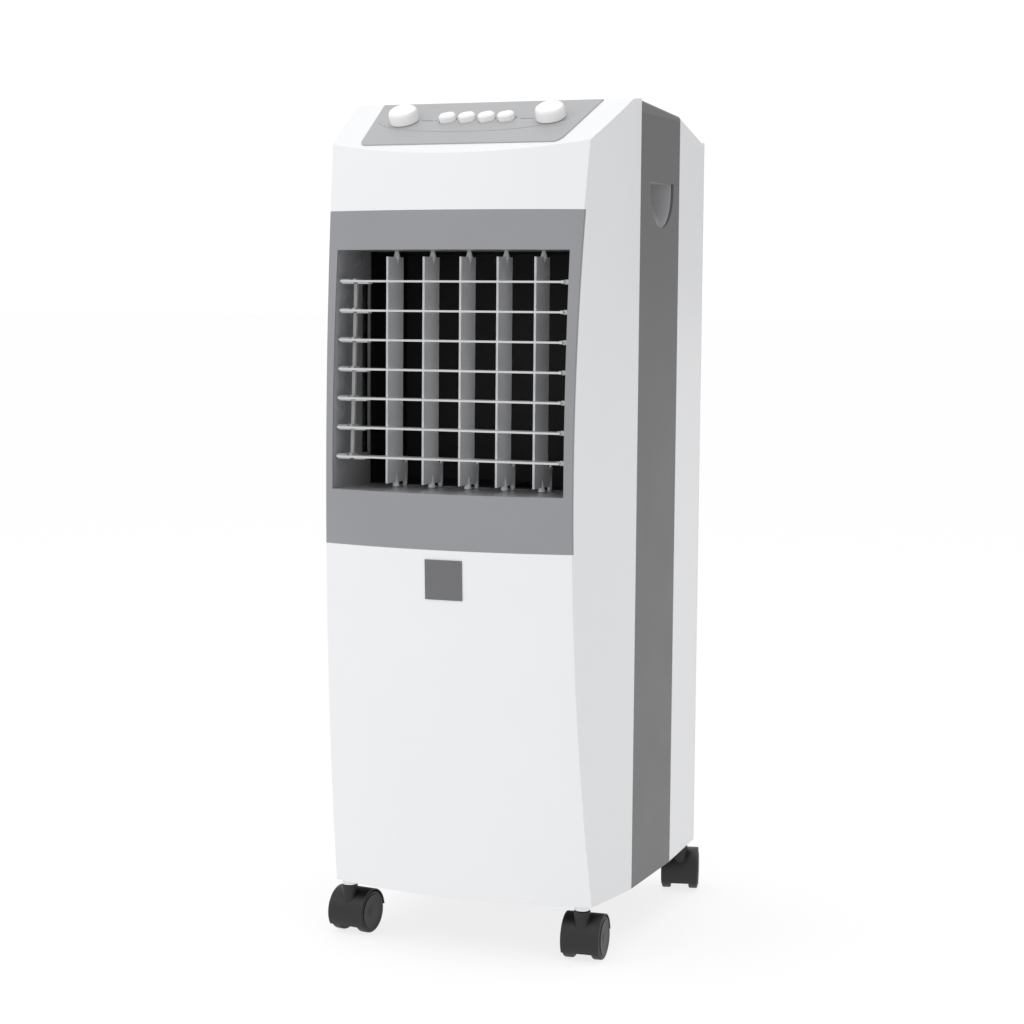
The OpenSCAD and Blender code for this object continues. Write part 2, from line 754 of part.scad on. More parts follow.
module fan_motor() {
    flange = 3;
    l = 46;
    color("silver") difference() {
        union() {
            along_y([0, scroll_y0 - l, scroll_z], motor_r, l - 6);
            along_y([0, scroll_y0 - flange, scroll_z], motor_r + 14, flange);
            for (i = [0:3]) rotate_about(45 + i * 90) along_y([motor_r - 3, scroll_y0 - 8, 0], 4, 6);
        }
        along_y([0, scroll_y0 - l + 4, scroll_z], shaft_r + fit, l);
    }
}
module rotate_about(a) { translate([0, 0, scroll_z]) rotate([0, a, 0]) children(); }

// ---- Controls ----
module oval(w, l) {
    r = l / 2;
    translate([r - w / 2, 0]) circle(r);
    translate([w / 2 - r, 0]) circle(r);
    translate([r - w / 2, -r]) square([w - l, l]);
}
function button_x(i) = (i - 2.5) * button_pitch;
module control_panel() {
    color("lightgray") difference() {
        on_slope(0, 0, panel_proud - panel_t) linear_extrude(panel_t) panel_outline(0);
        for (s = [-1, 1]) on_slope(s * knob_x, -controls_down, -5)
            cylinder(r = knob_shaft_r + 0.6, h = 10);
        for (i = [1:4]) on_slope(button_x(i), -controls_down, -5) rotate(button_slant)
            linear_extrude(10) oval(button_w + 2 * slip, button_l + 2 * slip);
    }
}
box_top = -9;
module control_box() {
    color("dimgray") difference() {
        on_slope(0, -controls_down) {
            block([-96, -20, box_top - 2], [96, 20, box_top]);
            for (s = [-1, 1]) {
                translate([s * knob_x, 0, box_top - 24]) cylinder(r = 16, h = 24);
                for (y = [-16, 16]) translate([s * 88, y, box_top])
                    cylinder(r = 2.5, h = panel_proud - panel_t - box_top);
            }
            block([-44, -14, box_top - 26], [44, 14, box_top]);
        }
        for (s = [-1, 1]) on_slope(s * knob_x, -controls_down, box_top - 18)
            cylinder(r = knob_shaft_r + fit, h = 30);
        for (i = [1:4]) on_slope(button_x(i), -controls_down, box_top - 12)
            cylinder(r = 3 + slip, h = 30);
    }
}
module knob(x) {
    edge = 2.5;
    color("white") on_slope(x, -controls_down) {
        translate([0, 0, panel_proud + 0.5]) rotate_extrude() {
            square([knob_r, knob_h - edge - 3]);
            translate([0, knob_h - edge - 3]) polygon([[0, 0], [knob_r, 0], [knob_r - 1, edge],
                [knob_r - 4, edge + 1.8], [0, edge + 2.6]]);
        }
        translate([0, 0, box_top - 16]) cylinder(r = knob_shaft_r, h = 20 - box_top);
        block([-1.2, 0, knob_h - 3], [1.2, knob_r - 0.5, knob_h]);
    }
}
module button(i) {
    edge = 1;
    color("white") on_slope(button_x(i), -controls_down) {
        rotate(button_slant) {
            translate([0, 0, -5]) linear_extrude(5 + button_h - edge) oval(button_w, button_l);
            translate([0, 0, button_h - edge]) linear_extrude(edge)
                oval(button_w - 2 * edge, button_l - 2 * edge);
        }
        translate([0, 0, box_top - 6]) cylinder(r = 3, h = 6 - box_top);
    }
}
badge_w = 36;
badge_x = 4;
badge_z = bezel_low - 26.5;
module badge() {
    w = badge_w;
    y = front_y + fall(badge_z) + 1.2;
    color("gray") intersection() {
        difference() {
            block([badge_x - w / 2, y - 5, badge_z - w / 2], [badge_x + w / 2, y + 5,
                badge_z + w / 2]);
            form(0, ground_gap);
        }
        barrel(-1, 0);
    }
}
// ---- Casters ----
swing = [-6, 5, -12, 15];
rim_half = 18;
hood_r = wheel_roll_r + gap + 1.3;
module caster_stems() {
    color("silver") at_stems() {
        translate([0, 0, ground_gap - 24]) cylinder(r = stem_r, h = 39);
        translate([0, 0, ground_gap - 4.5]) cylinder(r = 7, h = 4.5);
    }
}
module at_caster(k) {
    p = stem_at[k < 2 ? 0 : 1];
    translate([(k % 2 == 0 ? -1 : 1) * p[0], p[1], 0]) rotate(swing[k]) children();
}
module hood(k) {
    web = 2 * (rim_half - wheel_roll_w) - 2 * gap;
    top = ground_gap - 4.5 - gap;
    axle_z = wheel_roll_r;
    color("black") at_caster(k) difference() {
        union() {
            intersection() {
                along_x([-rim_half, trail, axle_z], hood_r, 2 * rim_half);
                union() {
                    block([-rim_half, trail - hood_r, axle_z + 3], [rim_half, trail + hood_r, top]);
                    block([-rim_half, trail - hood_r, 8], [rim_half, trail - 14, top]);
                    block([-web / 2, trail - hood_r, 8], [web / 2, trail + hood_r, top]);
                }
            }
            translate([0, 0, axle_z + 5]) cylinder(r = 7.5, h = top - axle_z - 5);
        }
        for (s = [-1, 1]) along_x([s * (web / 2 + rim_half + 1) / 2 - (rim_half + 1 - web / 2) / 2,
            trail, axle_z], wheel_roll_r + gap, rim_half + 1 - web / 2);
        along_x([-30, trail, axle_z], 2.5 + fit, 60);
        translate([0, 0, ground_gap - 24.5]) cylinder(r = stem_r + fit, h = 40);
    }
}
module wheels(k) {
    axle_z = wheel_roll_r;
    color("dimgray") at_caster(k) {
        along_x([-rim_half, trail, axle_z], 2.5, 2 * rim_half);
        for (s = [-1, 1])
            along_x([s * (rim_half - wheel_roll_w / 2) - wheel_roll_w / 2, trail, axle_z],
                wheel_roll_r, wheel_roll_w);
    }
}

front_shell();
rear_shell();
rear_side(-1);  // rear_side_left
rear_side(1);  // rear_side_right
side_band(-1);  // side_band_left
side_band(1);  // side_band_right
top_cap();
handle_cups();
base_plate();
outlet_bezel();
outlet_duct();
control_panel();
badge();
control_box();
knob(-knob_x);  // timer_knob
knob(knob_x);  // mode_knob
button(1);  // button_off
button(2);  // button_low
button(3);  // button_medium
button(4);  // button_high
louvre(1);  // louvre_1
louvre(2);  // louvre_2
louvre(3);  // louvre_3
louvre(4);  // louvre_4
louvre(5);  // louvre_5
louvre(6);  // louvre_6
louvre(7);  // louvre_7
louvre_link();
vane(1);  // vane_1
vane(2);  // vane_2
vane(3);  // vane_3
vane(4);  // vane_4
vane(5);  // vane_5
vane_link();
swing_motor();
swing_crank();
air_hood();
scroll_front();
scroll_rear();
blower_wheel();
fan_motor();
pad_cassette();
cooling_pad();
dust_filter();
water_tray();
pump();
hose();
tank();
tank_latch();
cord_gland();
screws();
caster_stems();
hood(0);  // hood_front_left
hood(1);  // hood_front_right
hood(2);  // hood_back_left
hood(3);  // hood_back_right
wheels(0);  // wheels_front_left
wheels(1);  // wheels_front_right
wheels(2);  // wheels_back_left
wheels(3);  // wheels_back_right
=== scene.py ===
import json
import math
import bpy
from mathutils import Matrix, Vector

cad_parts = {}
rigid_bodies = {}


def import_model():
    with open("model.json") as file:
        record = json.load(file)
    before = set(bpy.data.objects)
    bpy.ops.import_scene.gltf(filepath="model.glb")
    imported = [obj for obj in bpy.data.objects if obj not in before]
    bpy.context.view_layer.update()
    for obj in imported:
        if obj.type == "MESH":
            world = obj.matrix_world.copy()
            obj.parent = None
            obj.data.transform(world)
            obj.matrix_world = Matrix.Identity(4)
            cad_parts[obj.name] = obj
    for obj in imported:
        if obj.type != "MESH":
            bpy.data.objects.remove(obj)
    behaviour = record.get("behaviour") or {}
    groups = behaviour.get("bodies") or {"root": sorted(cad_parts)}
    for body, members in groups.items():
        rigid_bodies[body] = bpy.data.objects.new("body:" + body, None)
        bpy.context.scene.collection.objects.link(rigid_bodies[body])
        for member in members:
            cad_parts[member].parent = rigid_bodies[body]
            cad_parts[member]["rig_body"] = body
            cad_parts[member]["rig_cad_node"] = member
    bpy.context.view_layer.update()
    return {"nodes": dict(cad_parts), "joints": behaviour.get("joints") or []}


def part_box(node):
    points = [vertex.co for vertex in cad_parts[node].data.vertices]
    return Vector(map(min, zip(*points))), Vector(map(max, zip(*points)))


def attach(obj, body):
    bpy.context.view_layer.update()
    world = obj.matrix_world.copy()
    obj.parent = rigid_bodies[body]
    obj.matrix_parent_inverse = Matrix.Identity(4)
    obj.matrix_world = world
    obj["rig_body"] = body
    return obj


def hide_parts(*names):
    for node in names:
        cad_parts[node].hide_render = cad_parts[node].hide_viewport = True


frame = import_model()
nodes = frame["nodes"]

# ---- Base plate ----
# The floor of the cabinet: one injection moulding in mid grey, with four sockets for the
# caster stems and two rails that guide the tank. The shells are screwed down on it.


class Value:
    """One output of a shader node; arithmetic on it adds Math nodes."""

    def __init__(self, tree, socket=None):
        self.tree = tree
        self.socket = socket

    def node(self, kind, settings=None, inputs=None, output=0):
        made = self.tree.nodes.new("ShaderNode" + kind)
        for name, value in (settings or {}).items():
            if name == "stops":
                for stop, (place, shade) in zip(made.color_ramp.elements, value):
                    stop.position = place
                    stop.color = (shade, shade, shade, 1)
            else:
                setattr(made, name, value)
        for name, value in (inputs or {}).items():
            if isinstance(value, Value):
                self.tree.links.new(value.socket, made.inputs[name])
            else:
                made.inputs[name].default_value = value
        return Value(self.tree, made.outputs[output])

    def maths(self, operation, first, second):
        return self.node("Math", {"operation": operation}, {0: first, 1: second})

    def __add__(self, other):
        return self.maths("ADD", self, other)

    def __radd__(self, other):
        return self.maths("ADD", other, self)

    def __sub__(self, other):
        return self.maths("SUBTRACT", self, other)

    def __rsub__(self, other):
        return self.maths("SUBTRACT", other, self)

    def __mul__(self, other):
        return self.maths("MULTIPLY", self, other)

    def __rmul__(self, other):
        return self.maths("MULTIPLY", other, self)


def moulded_plastic(name, colour, roughness, grain=1400, depth=0.00001, uneven=0.06, coat=0.0):
    """Injection-moulded plastic: a faint unevenness in shade and gloss over a fine tool grain."""
    material = bpy.data.materials.new(name)
    material.use_nodes = True
    tree = material.node_tree
    shader = tree.nodes["Principled BSDF"]
    shader.inputs["Coat Weight"].default_value = coat
    shader.inputs["Coat Roughness"].default_value = 0.12
    place = Value(tree).node("TexCoord", output="Object")
    flow = place.node("TexNoise", inputs={"Vector": place, "Scale": 14, "Detail": 3}, output="Fac")
    dark = [shade * (1 - uneven) for shade in colour] + [1]
    light = [min(1, shade * (1 + uneven)) for shade in colour] + [1]
    tint = flow.node("Mix", {"data_type": "RGBA"}, {0: flow, 6: dark, 7: light}, output=2)
    tree.links.new(tint.socket, shader.inputs["Base Color"])
    gloss = (flow - 0.5) * 0.12 + roughness
    tree.links.new(gloss.socket, shader.inputs["Roughness"])
    tooth = place.node("TexNoise", inputs={"Vector": place, "Scale": grain, "Detail": 1},
                       output="Fac")
    relief = tooth.node("Bump", inputs={"Height": tooth, "Strength": 0.5, "Distance": depth},
                        output="Normal")
    tree.links.new(relief.socket, shader.inputs["Normal"])
    return material


def paint(piece, material):
    piece.data.materials.clear()
    piece.data.materials.append(material)
    return piece


def only(piece):
    """Makes a piece the one that is selected and active."""
    bpy.ops.object.select_all(action="DESELECT")
    piece.hide_set(False)
    piece.select_set(True)
    bpy.context.view_layer.objects.active = piece
    return piece


def smooth(piece):
    """Smooths the shading over soft corners and keeps broad faces flat."""
    only(piece)
    bpy.ops.object.shade_smooth_by_angle(angle=math.radians(32))
    weight = piece.modifiers.new("flat faces", "WEIGHTED_NORMAL")
    weight.keep_sharp = True
    bpy.ops.object.modifier_apply(modifier=weight.name)
    return piece


def finish_edges(piece, edge, corner=24, segments=2):
    """Rounds the corners that are sharper than corner and smooths the faces between them."""
    only(piece)
    bevel = piece.modifiers.new("rounding", "BEVEL")
    bevel.width = edge
    bevel.segments = segments
    bevel.limit_method = "ANGLE"
    bevel.angle_limit = math.radians(corner)
    bpy.ops.object.modifier_apply(modifier=bevel.name)
    return smooth(piece)


MIDDLE = Vector((0, 0, 0.4))
OUTWARD = 0.12
SQUARE_ON = 0.8
LONG_EDGE = 0.006


def select_outer_creases(piece):
    """Selects the long sharp edges between outer faces, apart from the rims below and behind."""
    points = piece.data.vertices
    outer = {}
    for face in piece.data.polygons:
        faces_out = face.normal.dot((face.center - MIDDLE).normalized()) > OUTWARD
        on_rim = face.normal.z < -SQUARE_ON or abs(face.normal.y) > SQUARE_ON
        for key in face.edge_keys:
            outer.setdefault(key, []).append((faces_out and not on_rim, face.normal))
    for edge in piece.data.edges:
        sides = outer[edge.key]
        run = (points[edge.vertices[0]].co - points[edge.vertices[1]].co).length
        edge.select = (run > LONG_EDGE and len(sides) == 2 and sides[0][0] and sides[1][0]
                       and sides[0][1].angle(sides[1][1]) > math.radians(20))


def moulding(node, material, edge, corner=24, segments=2, crease=0):
    """A node's own shape with rounded edges, which stands for the node."""
    only(nodes[node])
    bpy.ops.object.duplicate()
    piece = bpy.context.object
    piece.name = node + "_moulding"
    body = piece["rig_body"]
    piece.parent = None
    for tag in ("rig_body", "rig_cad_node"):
        del piece[tag]
    bpy.ops.mesh.customdata_custom_splitnormals_clear()
    bpy.ops.object.mode_set(mode="EDIT")
    bpy.ops.mesh.select_all(action="SELECT")
    bpy.ops.mesh.remove_doubles(threshold=0.00002)
    bpy.ops.mesh.dissolve_limited(angle_limit=math.radians(0.6))
    if crease:
        bpy.ops.mesh.select_all(action="DESELECT")
        bpy.ops.mesh.select_mode(type="EDGE")
        bpy.ops.object.mode_set(mode="OBJECT")
        select_outer_creases(piece)
        bpy.ops.object.mode_set(mode="EDIT")
        bpy.ops.mesh.bevel(offset=crease, segments=6, affect="EDGES", clamp_overlap=False)
    bpy.ops.object.mode_set(mode="OBJECT")
    finish_edges(piece, edge, corner, segments)
    paint(piece, material)
    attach(piece, body)
    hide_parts(node)
    return piece


base_grey = moulded_plastic("base_grey", (0.17, 0.175, 0.18), 0.45)
moulding("base_plate", base_grey, 0.0008)

# ---- Casters ----
# Twin-wheel furniture casters, 40 mm: black nylon hoods and wheels, with a plated steel stem that
# snaps into a socket in the base plate. Each wheel has a hub cap pressed into its outer face.
caster_black = moulded_plastic(
    "caster_black", (0.006, 0.006, 0.0065), 0.46, grain=900, depth=0.00003)
tread_black = moulded_plastic(
    "tread_black", (0.008, 0.008, 0.0085), 0.52, grain=700, depth=0.00004)
CORNERS = ("front_left", "front_right", "back_left", "back_right")
HUB_R = 0.0165
HUB_LIFT = 0.0008
HUB_STEPS = ((0.0022, -0.0006), (0.0080, -0.0001), (0.0012, 0.0005))
HALF_CASTER = 0.018


def plated_steel(name, colour, roughness, streak):
    """Bright or brushed metal, with fine marks along one axis where streak is above zero."""
    material = bpy.data.materials.new(name)
    material.use_nodes = True
    tree = material.node_tree
    shader = tree.nodes["Principled BSDF"]
    shader.inputs["Metallic"].default_value = 1
    place = Value(tree).node("TexCoord", output="Object")
    drawn = place.node("Mapping", inputs={"Vector": place, "Scale": (1, 1, 1 - 0.98 * streak)})
    marks = place.node("TexNoise", inputs={"Vector": drawn, "Scale": 600, "Detail": 3},
                       output="Fac")
    dark = [shade * 0.86 for shade in colour] + [1]
    tint = marks.node("Mix", {"data_type": "RGBA"}, {0: marks, 6: dark, 7: (*colour, 1)},
                      output=2)
    tree.links.new(tint.socket, shader.inputs["Base Color"])
    gloss = (marks - 0.5) * 0.2 + roughness
    tree.links.new(gloss.socket, shader.inputs["Roughness"])
    relief = marks.node("Bump", inputs={"Height": marks, "Strength": 0.4, "Distance": 0.00001},
                        output="Normal")
    tree.links.new(relief.socket, shader.inputs["Normal"])
    return material


bright_steel = plated_steel("bright_steel", (0.78, 0.78, 0.80), 0.16, 0.0)
moulding("caster_stems", bright_steel, 0.0005)

for corner in CORNERS:
    moulding("hood_" + corner, caster_black, 0.0011, segments=3)
    moulding("wheels_" + corner, tread_black, 0.0016, segments=3)

roll = {joint["name"]: joint for joint in frame["joints"]}
bpy.ops.object.select_all(action="DESELECT")
bpy.ops.mesh.primitive_cylinder_add(vertices=48, radius=HUB_R, depth=2 * HUB_LIFT)
hub_shape = bpy.context.object
hub_shape.name = "hub_cap"
bpy.ops.object.mode_set(mode="EDIT")
bpy.ops.mesh.select_all(action="DESELECT")
bpy.ops.mesh.select_mode(type="FACE")
bpy.ops.object.mode_set(mode="OBJECT")
for face in hub_shape.data.polygons:
    face.select = face.normal.z > 0.9
bpy.ops.object.mode_set(mode="EDIT")
for inward, raised in HUB_STEPS:
    bpy.ops.mesh.inset(thickness=inward, depth=raised)
bpy.ops.object.mode_set(mode="OBJECT")
finish_edges(hub_shape, 0.0003)
for corner in CORNERS:
    joint = roll["roll_" + corner]
    centre, axle = Vector(joint["pos_m"]), Vector(joint["axis"])
    for side, word in ((1, "right"), (-1, "left")):
        only(hub_shape)
        bpy.ops.object.duplicate()
        cap = bpy.context.object
        cap.name = f"hub_cap_{corner}_{word}"
        turn = (side * axle).to_track_quat("Z", "Y").to_matrix().to_4x4()
        cap.data.transform(Matrix.Translation(centre + side * HALF_CASTER * axle) @ turn)
        paint(cap, caster_black)
        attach(cap, "wheels_" + corner)
bpy.data.objects.remove(hub_shape)

# ---- Tank ----
# A frosted polypropylene box of about five litres that slides in at the back. Its outer wall has
# a finger pocket and a row of moulded level marks.
tank_frost = moulded_plastic("tank_frost", (0.70, 0.74, 0.78), 0.38, grain=500, depth=0.00002)
MARK_SIDE = 0.016
MARK_LOW = 0.022
MARK_PITCH = 0.021
MARK_LONG, MARK_SHORT = 0.016, 0.010
MARK_DEEP, MARK_HIGH = 0.0010, 0.0016
MARK_PROUD = 0.0001
moulding("tank", tank_frost, 0.0012)
moulding("tank_latch", base_grey, 0.0007)
tank_low, tank_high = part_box("tank")
for step in range(5):
    bpy.ops.object.select_all(action="DESELECT")
    bpy.ops.mesh.primitive_cube_add(size=1)
    mark = bpy.context.object
    mark.name = f"level_mark_{step + 1}"
    width = MARK_LONG if step % 2 == 0 else MARK_SHORT
    place = (tank_high.x - MARK_SIDE, tank_high.y + MARK_PROUD,
             tank_low.z + MARK_LOW + MARK_PITCH * step)
    mark.data.transform(
        Matrix.Translation(place) @ Matrix.Diagonal((width, MARK_DEEP, MARK_HIGH, 1)))
    finish_edges(mark, 0.0003)
    paint(mark, tank_frost)
    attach(mark, "tank")

# ---- Pump and hose ----
# A small submersible pump hangs in the tank from an arm, and feeds the tray above the pad through
# a clear silicone hose.
works_black = moulded_plastic("works_black", (0.018, 0.018, 0.02), 0.5, depth=0.00003)
silicone = moulded_plastic("silicone", (0.62, 0.64, 0.64), 0.3, grain=300)
moulding("pump", works_black, 0.0012)
moulding("hose", silicone, 0.0004, corner=40)

# ---- Blower and motor ----
# A forward-curved wheel of ivory plastic in a dark volute that is moulded in two halves. A
# shaded-pole motor with a steel can is screwed to the front wall and turns it.
housing_grey = moulded_plastic("housing_grey", (0.045, 0.046, 0.05), 0.5, depth=0.00002)
ivory = moulded_plastic("ivory", (0.70, 0.68, 0.60), 0.42)
motor_steel = plated_steel("motor_steel", (0.55, 0.56, 0.58), 0.36, 1.0)
moulding("scroll_front", housing_grey, 0.0007)
moulding("scroll_rear", housing_grey, 0.0007)
moulding("blower_wheel", ivory, 0.0002)
moulding("fan_motor", motor_steel, 0.0009)

# ---- Air hood ----
# A black moulded box that carries the air from the volute up to the back of the outlet duct,
# where it is clipped on.
hood_black = moulded_plastic("hood_black", (0.004, 0.004, 0.004), 0.7, depth=0.00003)
moulding("air_hood", hood_black, 0.0008)

# ---- Outlet duct ----
# Dark grey tunnel behind the bezel; the louvres pivot in its sides and the vanes in its floor and
# top. Its left wall is notched for the louvre link.
duct_grey = moulded_plastic("duct_grey", (0.36, 0.363, 0.375), 0.26, depth=0.000012)
moulding("outlet_duct", duct_grey, 0.0004)

# ---- Vanes ----
# Five upright vanes turn the air from side to side. A bar under the duct joins their pegs, and the
# swing motor drives it with a crank.
vane_grey = moulded_plastic("vane_grey", (0.86, 0.865, 0.88), 0.3, depth=0.000008, coat=0.2)
for number in range(1, 6):
    moulding(f"vane_{number}", vane_grey, 0.0005, segments=3)
moulding("vane_link", housing_grey, 0.0004)
moulding("swing_crank", ivory, 0.0004)
moulding("swing_motor", motor_steel, 0.0006)

# ---- Louvres ----
# Seven thin moulded blades tilt together on pins in the duct's sides. A flat link at the left is
# clipped over a pin on each blade.
louvre_grey = moulded_plastic("louvre_grey", (0.56, 0.565, 0.57), 0.28, depth=0.000008, coat=0.2)
for number in range(1, 8):
    moulding(f"louvre_{number}", louvre_grey, 0.0005, segments=3)
moulding("louvre_link", louvre_grey, 0.0005)

# ---- Bezel ----
# Satin grey moulding that frames the outlet and follows the round of the front. It is clipped
# into the front shell and holds the duct behind it.
bezel_grey = moulded_plastic("bezel_grey", (0.275, 0.278, 0.295), 0.42, depth=0.000015)
moulding("outlet_bezel", bezel_grey, 0.0009)

# ---- Shells ----
# Glossy white ABS mouldings: a front shell, two rear side walls, and a back with openings for
# the pad and the tank. The long outer corners are rounded.
white_shell = moulded_plastic(
    "white_shell", (0.81, 0.815, 0.83), 0.34, uneven=0.012, depth=0.000006, coat=0.15)
LONG_CORNER = 0.0042
moulding("front_shell", white_shell, 0.0030, segments=4)
moulding("rear_side_left", white_shell, 0.0006, corner=35, crease=LONG_CORNER)
moulding("rear_side_right", white_shell, 0.0006, corner=35, crease=LONG_CORNER)
moulding("rear_shell", white_shell, 0.0026, segments=4)

# ---- Side bands, cap and hand holds ----
# Two grey uprights between the shells, joined over the top by a paler cap. A cup is let into each
# band as a hand hold.
band_grey = moulded_plastic("band_grey", (0.122, 0.123, 0.127), 0.42, depth=0.000015)
cap_grey = moulded_plastic("cap_grey", (0.155, 0.156, 0.159), 0.42, depth=0.000015)
cup_grey = moulded_plastic("cup_grey", (0.44, 0.442, 0.45), 0.36, depth=0.000015)
moulding("side_band_left", band_grey, 0.0009)
moulding("side_band_right", band_grey, 0.0009)
moulding("top_cap", cap_grey, 0.0006, corner=35, crease=LONG_CORNER)
moulding("handle_cups", cup_grey, 0.0016, segments=3)

# ---- Control panel ----
# A pale grey plate let into the slope, with a curved groove under the controls and short printed
# lines that join the knobs to the buttons.
panel_grey = moulded_plastic("panel_grey", (0.385, 0.388, 0.396), 0.42, depth=0.000015)
white_control = moulded_plastic(
    "white_control", (0.92, 0.92, 0.92), 0.25, uneven=0.01, depth=0.000004, coat=0.3)
legend_ink = moulded_plastic("legend_ink", (0.12, 0.12, 0.125), 0.5)
# Millimetres across the panel and down from the ridge
GROOVE = ((-97, 43), (-93, 49), (-84, 54), (-50, 64.6), (0, 68), (44, 64.6), (78, 54.4),
          (90, 44.2))
GROOVE_R = 0.0009
GROOVE_UP = 0.0013
timer, mode = roll["timer_turn"], roll["mode_turn"]
controls = (Vector(timer["pos_m"]) + Vector(mode["pos_m"])) / 2
out = -Vector(timer["axis"])
up = Vector((0, out.z, -out.y))
slope = Matrix((
    (1, up.x, out.x, controls.x),
    (0, up.y, out.y, controls.y),
    (0, up.z, out.z, controls.z),
    (0, 0, 0, 1)))
CONTROLS_DOWN = 0.041
PROUD = 0.001
INK = 0.0003
panel = moulding("control_panel", panel_grey, 0.0004)
bpy.ops.object.select_all(action="DESELECT")
bpy.ops.curve.primitive_nurbs_path_add()
groove = bpy.context.object
points = groove.data.splines[0]
points.points.add(len(GROOVE) - len(points.points))
for point, (x, down) in zip(points.points, GROOVE):
    point.co = (x / 1000, CONTROLS_DOWN - down / 1000, GROOVE_UP, 1)
points.use_endpoint_u = True
points.order_u = 3
groove.data.bevel_depth = GROOVE_R
groove.data.bevel_resolution = 2
groove.data.resolution_u = 12
groove.data.use_fill_caps = True
bpy.ops.object.convert(target="MESH")
groove.data.transform(slope)
only(panel)
cut = panel.modifiers.new("groove", "BOOLEAN")
cut.operation = "DIFFERENCE"
cut.object = groove
bpy.ops.object.modifier_apply(modifier=cut.name)
bpy.data.objects.remove(groove)
smooth(panel)

# Millimetres from the middle of the controls: across, up, width, height, and lean in degrees
MARKS = ((-49, 0, 11, 0.7, 0), (49, 0, 13, 0.7, 0), (-40.5, 0, 1.4, 1.4, 0),
         (-28.5, 7.6, 1.1, 2.6, -24), (-9.3, 7.6, 1.1, 2.6, -24), (9.9, 7.6, 1.1, 2.6, -24),
         (29.1, 7.6, 1.1, 2.6, -24), (37.5, 3, 1.6, 1.6, 0))
bpy.ops.object.select_all(action="DESELECT")
marks = []
for x, y, w, h, lean in MARKS:
    bpy.ops.mesh.primitive_cube_add(size=1)
    mark = bpy.context.object
    mark.data.transform(
        slope @ Matrix.Translation((x / 1000, y / 1000, PROUD))
        @ Matrix.Rotation(math.radians(lean), 4, "Z")
        @ Matrix.Diagonal((w / 1000, h / 1000, INK, 1)))
    marks.append(mark)
bpy.ops.object.select_all(action="DESELECT")
for mark in marks:
    mark.select_set(True)
bpy.context.view_layer.objects.active = marks[0]
bpy.ops.object.join()
legend = bpy.context.object
legend.name = "panel_legend"
finish_edges(legend, 0.00005)
paint(legend, legend_ink)
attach(legend, "cabinet")

moulding("timer_knob", white_control, 0.0016, segments=3)
moulding("mode_knob", white_control, 0.0016, segments=3)
for word in ("off", "low", "medium", "high"):
    moulding("button_" + word, white_control, 0.0011, segments=3)
moulding("control_box", works_black, 0.0006)

# ---- Badge ----
# A plain square of dark grey gloss plastic, stuck on the front below the bezel. Its face follows
# the round of the shell.
badge_grey = moulded_plastic(
    "badge_grey", (0.122, 0.123, 0.128), 0.3, uneven=0.03, depth=0.000005, coat=0.4)
moulding("badge", badge_grey, 0.0007)

# ---- Cassette, pad and filter ----
# A white frame with a louvred grille slides out at the back. It carries a woven dust filter and a
# pad of corrugated cellulose sheets, kept wet by the tray above.
moulding("pad_cassette", white_shell, 0.0005)
moulding("dust_filter", works_black, 0.0003)
moulding("water_tray", white_shell, 0.0007)
pad_fibre = moulded_plastic(
    "pad_fibre", (0.38, 0.24, 0.11), 0.85, grain=900, depth=0.0001, uneven=0.3)
FLUTE = 0.011
SHEET_GAP = 0.006
SHEET_T = 0.0005
SHEET_ROOM = 0.0004
PAD_ROOM = 0.0005
pad_low, pad_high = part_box("cooling_pad")
pad_size = pad_high - pad_low
bpy.ops.object.select_all(action="DESELECT")
bpy.ops.mesh.primitive_grid_add(
    x_subdivisions=4, y_subdivisions=round(4 * pad_size.z / FLUTE), size=1)
pad = bpy.context.object
pad.name = "pad_sheets"
for point in pad.data.vertices:
    deep = (point.co.x + 0.5) * (pad_size.y - 2 * PAD_ROOM)
    high = (point.co.y + 0.5) * (pad_size.z - 2 * PAD_ROOM)
    wave = math.sin(2 * math.pi * (high + deep) / FLUTE)
    point.co = (wave * (SHEET_GAP / 2 - SHEET_ROOM), deep, high)
sheets = math.floor((pad_size.x - SHEET_GAP) / SHEET_GAP)
for name, kind, settings in (
        ("sheet", "SOLIDIFY", {"thickness": SHEET_T, "offset": 0}),
        ("stack", "ARRAY", {"count": sheets, "use_relative_offset": False,
                            "use_constant_offset": True,
                            "constant_offset_displace": (SHEET_GAP, 0, 0)})):
    only(pad)
    step = pad.modifiers.new(name, kind)
    for setting, value in settings.items():
        setattr(step, setting, value)
    bpy.ops.object.modifier_apply(modifier=step.name)
spare = (pad_size.x - (sheets - 1) * SHEET_GAP) / 2
pad.data.transform(
    Matrix.Translation((pad_low.x + spare, pad_low.y + PAD_ROOM, pad_low.z + PAD_ROOM)))
bpy.ops.object.shade_smooth_by_angle(angle=math.radians(50))
paint(pad, pad_fibre)
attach(pad, "cassette")
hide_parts("cooling_pad")

filter_net = moulded_plastic("filter_net", (0.03, 0.03, 0.032), 0.6)
threads = Value(filter_net.node_tree).node("TexCoord", output="Object")
NOT_THREAD = 0.62
THREADS = 160
net_threads = []
for axis in ("X", "Z"):
    stripe = threads.node("TexWave", {"wave_type": "BANDS", "bands_direction": axis},
                          {"Vector": threads, "Scale": THREADS}, output="Fac")
    net_threads.append(stripe.maths("GREATER_THAN", stripe, NOT_THREAD))
weave = net_threads[0].maths("MAXIMUM", net_threads[0], net_threads[1])
net_shader = filter_net.node_tree.nodes["Principled BSDF"]
filter_net.node_tree.links.new(weave.socket, net_shader.inputs["Alpha"])
COLUMNS, ROWS = 4, 9
NET_IN, BELLY = 0.0008, 0.0006
THREAD_T = 0.0003
net_low, net_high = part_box("dust_filter")
net_size = net_high - net_low
bpy.ops.object.select_all(action="DESELECT")
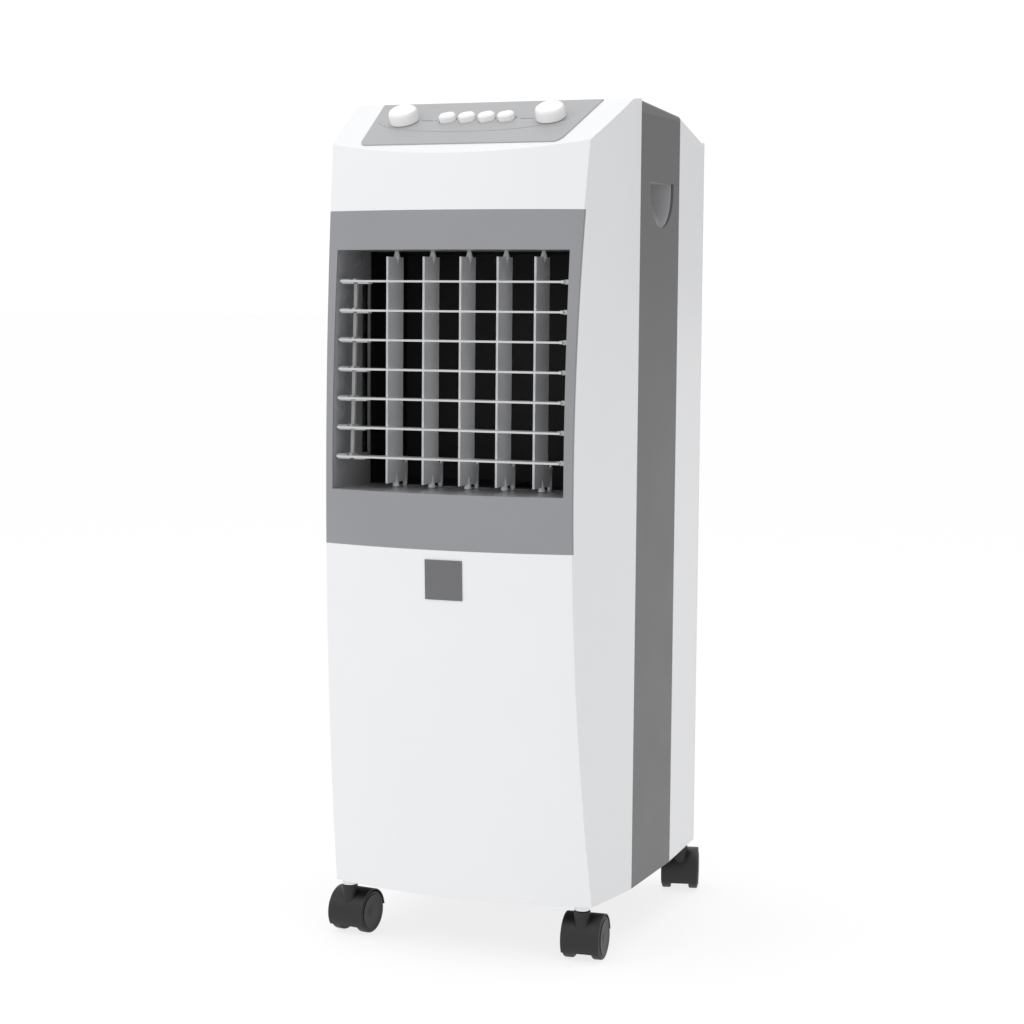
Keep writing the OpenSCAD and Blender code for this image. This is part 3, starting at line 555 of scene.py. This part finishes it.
bpy.ops.mesh.primitive_grid_add(x_subdivisions=8 * COLUMNS, y_subdivisions=8 * ROWS, size=1)
net = bpy.context.object
net.name = "filter_net"
for point in net.data.vertices:
    across, high = point.co.x + 0.5, point.co.y + 0.5
    belly = abs(math.sin(COLUMNS * math.pi * across) * math.sin(ROWS * math.pi * high))
    point.co = (net_low.x + across * net_size.x, net_low.y + NET_IN + BELLY * belly,
                net_low.z + high * net_size.z)
only(net)
thin = net.modifiers.new("thread", "SOLIDIFY")
thin.thickness = THREAD_T
bpy.ops.object.modifier_apply(modifier=thin.name)
bpy.ops.object.mode_set(mode="EDIT")
bpy.ops.mesh.select_all(action="SELECT")
bpy.ops.mesh.normals_make_consistent(inside=False)
bpy.ops.object.mode_set(mode="OBJECT")
bpy.ops.object.shade_smooth_by_angle(angle=math.radians(50))
paint(net, filter_net)
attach(net, "cassette")

# ---- Cord inlet and screws ----
# A black moulded gland low on the back takes the mains cord. Six plated screws hold the back
# to the front shell.
moulding("cord_gland", works_black, 0.0007)
moulding("screws", bright_steel, 0.0004)

# ---- Floor, light and camera ----
# A pale floor and a white surround that lights the cooler less from the right. Two broad soft
# lights hang in front and above, and the camera stands in front, to the right.
bpy.ops.object.select_all(action="DESELECT")
bpy.ops.mesh.primitive_plane_add(size=300)
floor = bpy.context.object
floor.name = "floor"
floor_white = moulded_plastic("floor_white", (0.22, 0.22, 0.22), 0.9, uneven=0.0, grain=40)
TO_THE_RIGHT = (0.87, 0.50, 0)
DIMMING = ((0.30, 1.0), (0.80, 0.30))
glow = floor_white.node_tree.nodes["Principled BSDF"]
glow.inputs["Emission Color"].default_value = (1, 1, 1, 1)
glow.inputs["Emission Strength"].default_value = 0.79
glow.inputs["Specular IOR Level"].default_value = 0
paint(floor, floor_white)

world = bpy.data.worlds.new("surround")
bpy.context.scene.world = world
world.use_nodes = True
around = Value(world.node_tree).node("TexCoord", output="Generated")
rightward = around.node("VectorMath", {"operation": "DOT_PRODUCT"},
                        {0: around, 1: TO_THE_RIGHT}, output=1)
dimmed = rightward.node("ValToRGB", {"stops": DIMMING}, {"Fac": rightward})
seen = around.node("LightPath", output="Is Camera Ray")
white_backdrop = dimmed.maths("MAXIMUM", dimmed, seen)
background = world.node_tree.nodes["Background"]
world.node_tree.links.new(white_backdrop.socket, background.inputs["Color"])
background.inputs["Strength"].default_value = 1.03


def soft_light(name, place, aim, size, power):
    lamp = bpy.data.lights.new(name, "AREA")
    lamp.shape = "DISK"
    lamp.size = size
    lamp.energy = power
    light = bpy.data.objects.new(name, lamp)
    bpy.context.scene.collection.objects.link(light)
    light.location = place
    light.rotation_euler = (Vector(aim) - Vector(place)).to_track_quat("-Z", "Y").to_euler()


soft_light("key", place=(-1.6, -2.2, 2.6), aim=(0, 0, 0.4), size=1.6, power=7)
soft_light("top", place=(0.3, 0.3, 2.9), aim=(0, 0, 0.3), size=1.8, power=12)

# Degrees that the camera is turned about the upright, tipped down, and rolled
TURNED, TIPPED, ROLLED = 21.96, 5.15, 0.486
eye = bpy.data.cameras.new("camera")
eye.lens = 79.65
eye.sensor_width = 36
eye.clip_start = 0.05
camera = bpy.data.objects.new("camera", eye)
bpy.context.scene.collection.objects.link(camera)
camera.location = (0.80815, -2.00913, 0.59068)
camera.rotation_euler = (Matrix.Rotation(math.radians(TURNED), 3, "Z")
                         @ Matrix.Rotation(math.radians(90 - TIPPED), 3, "X")
                         @ Matrix.Rotation(math.radians(ROLLED), 3, "Z")).to_euler()
bpy.context.scene.camera = camera
bpy.context.scene.view_settings.view_transform = "Standard"
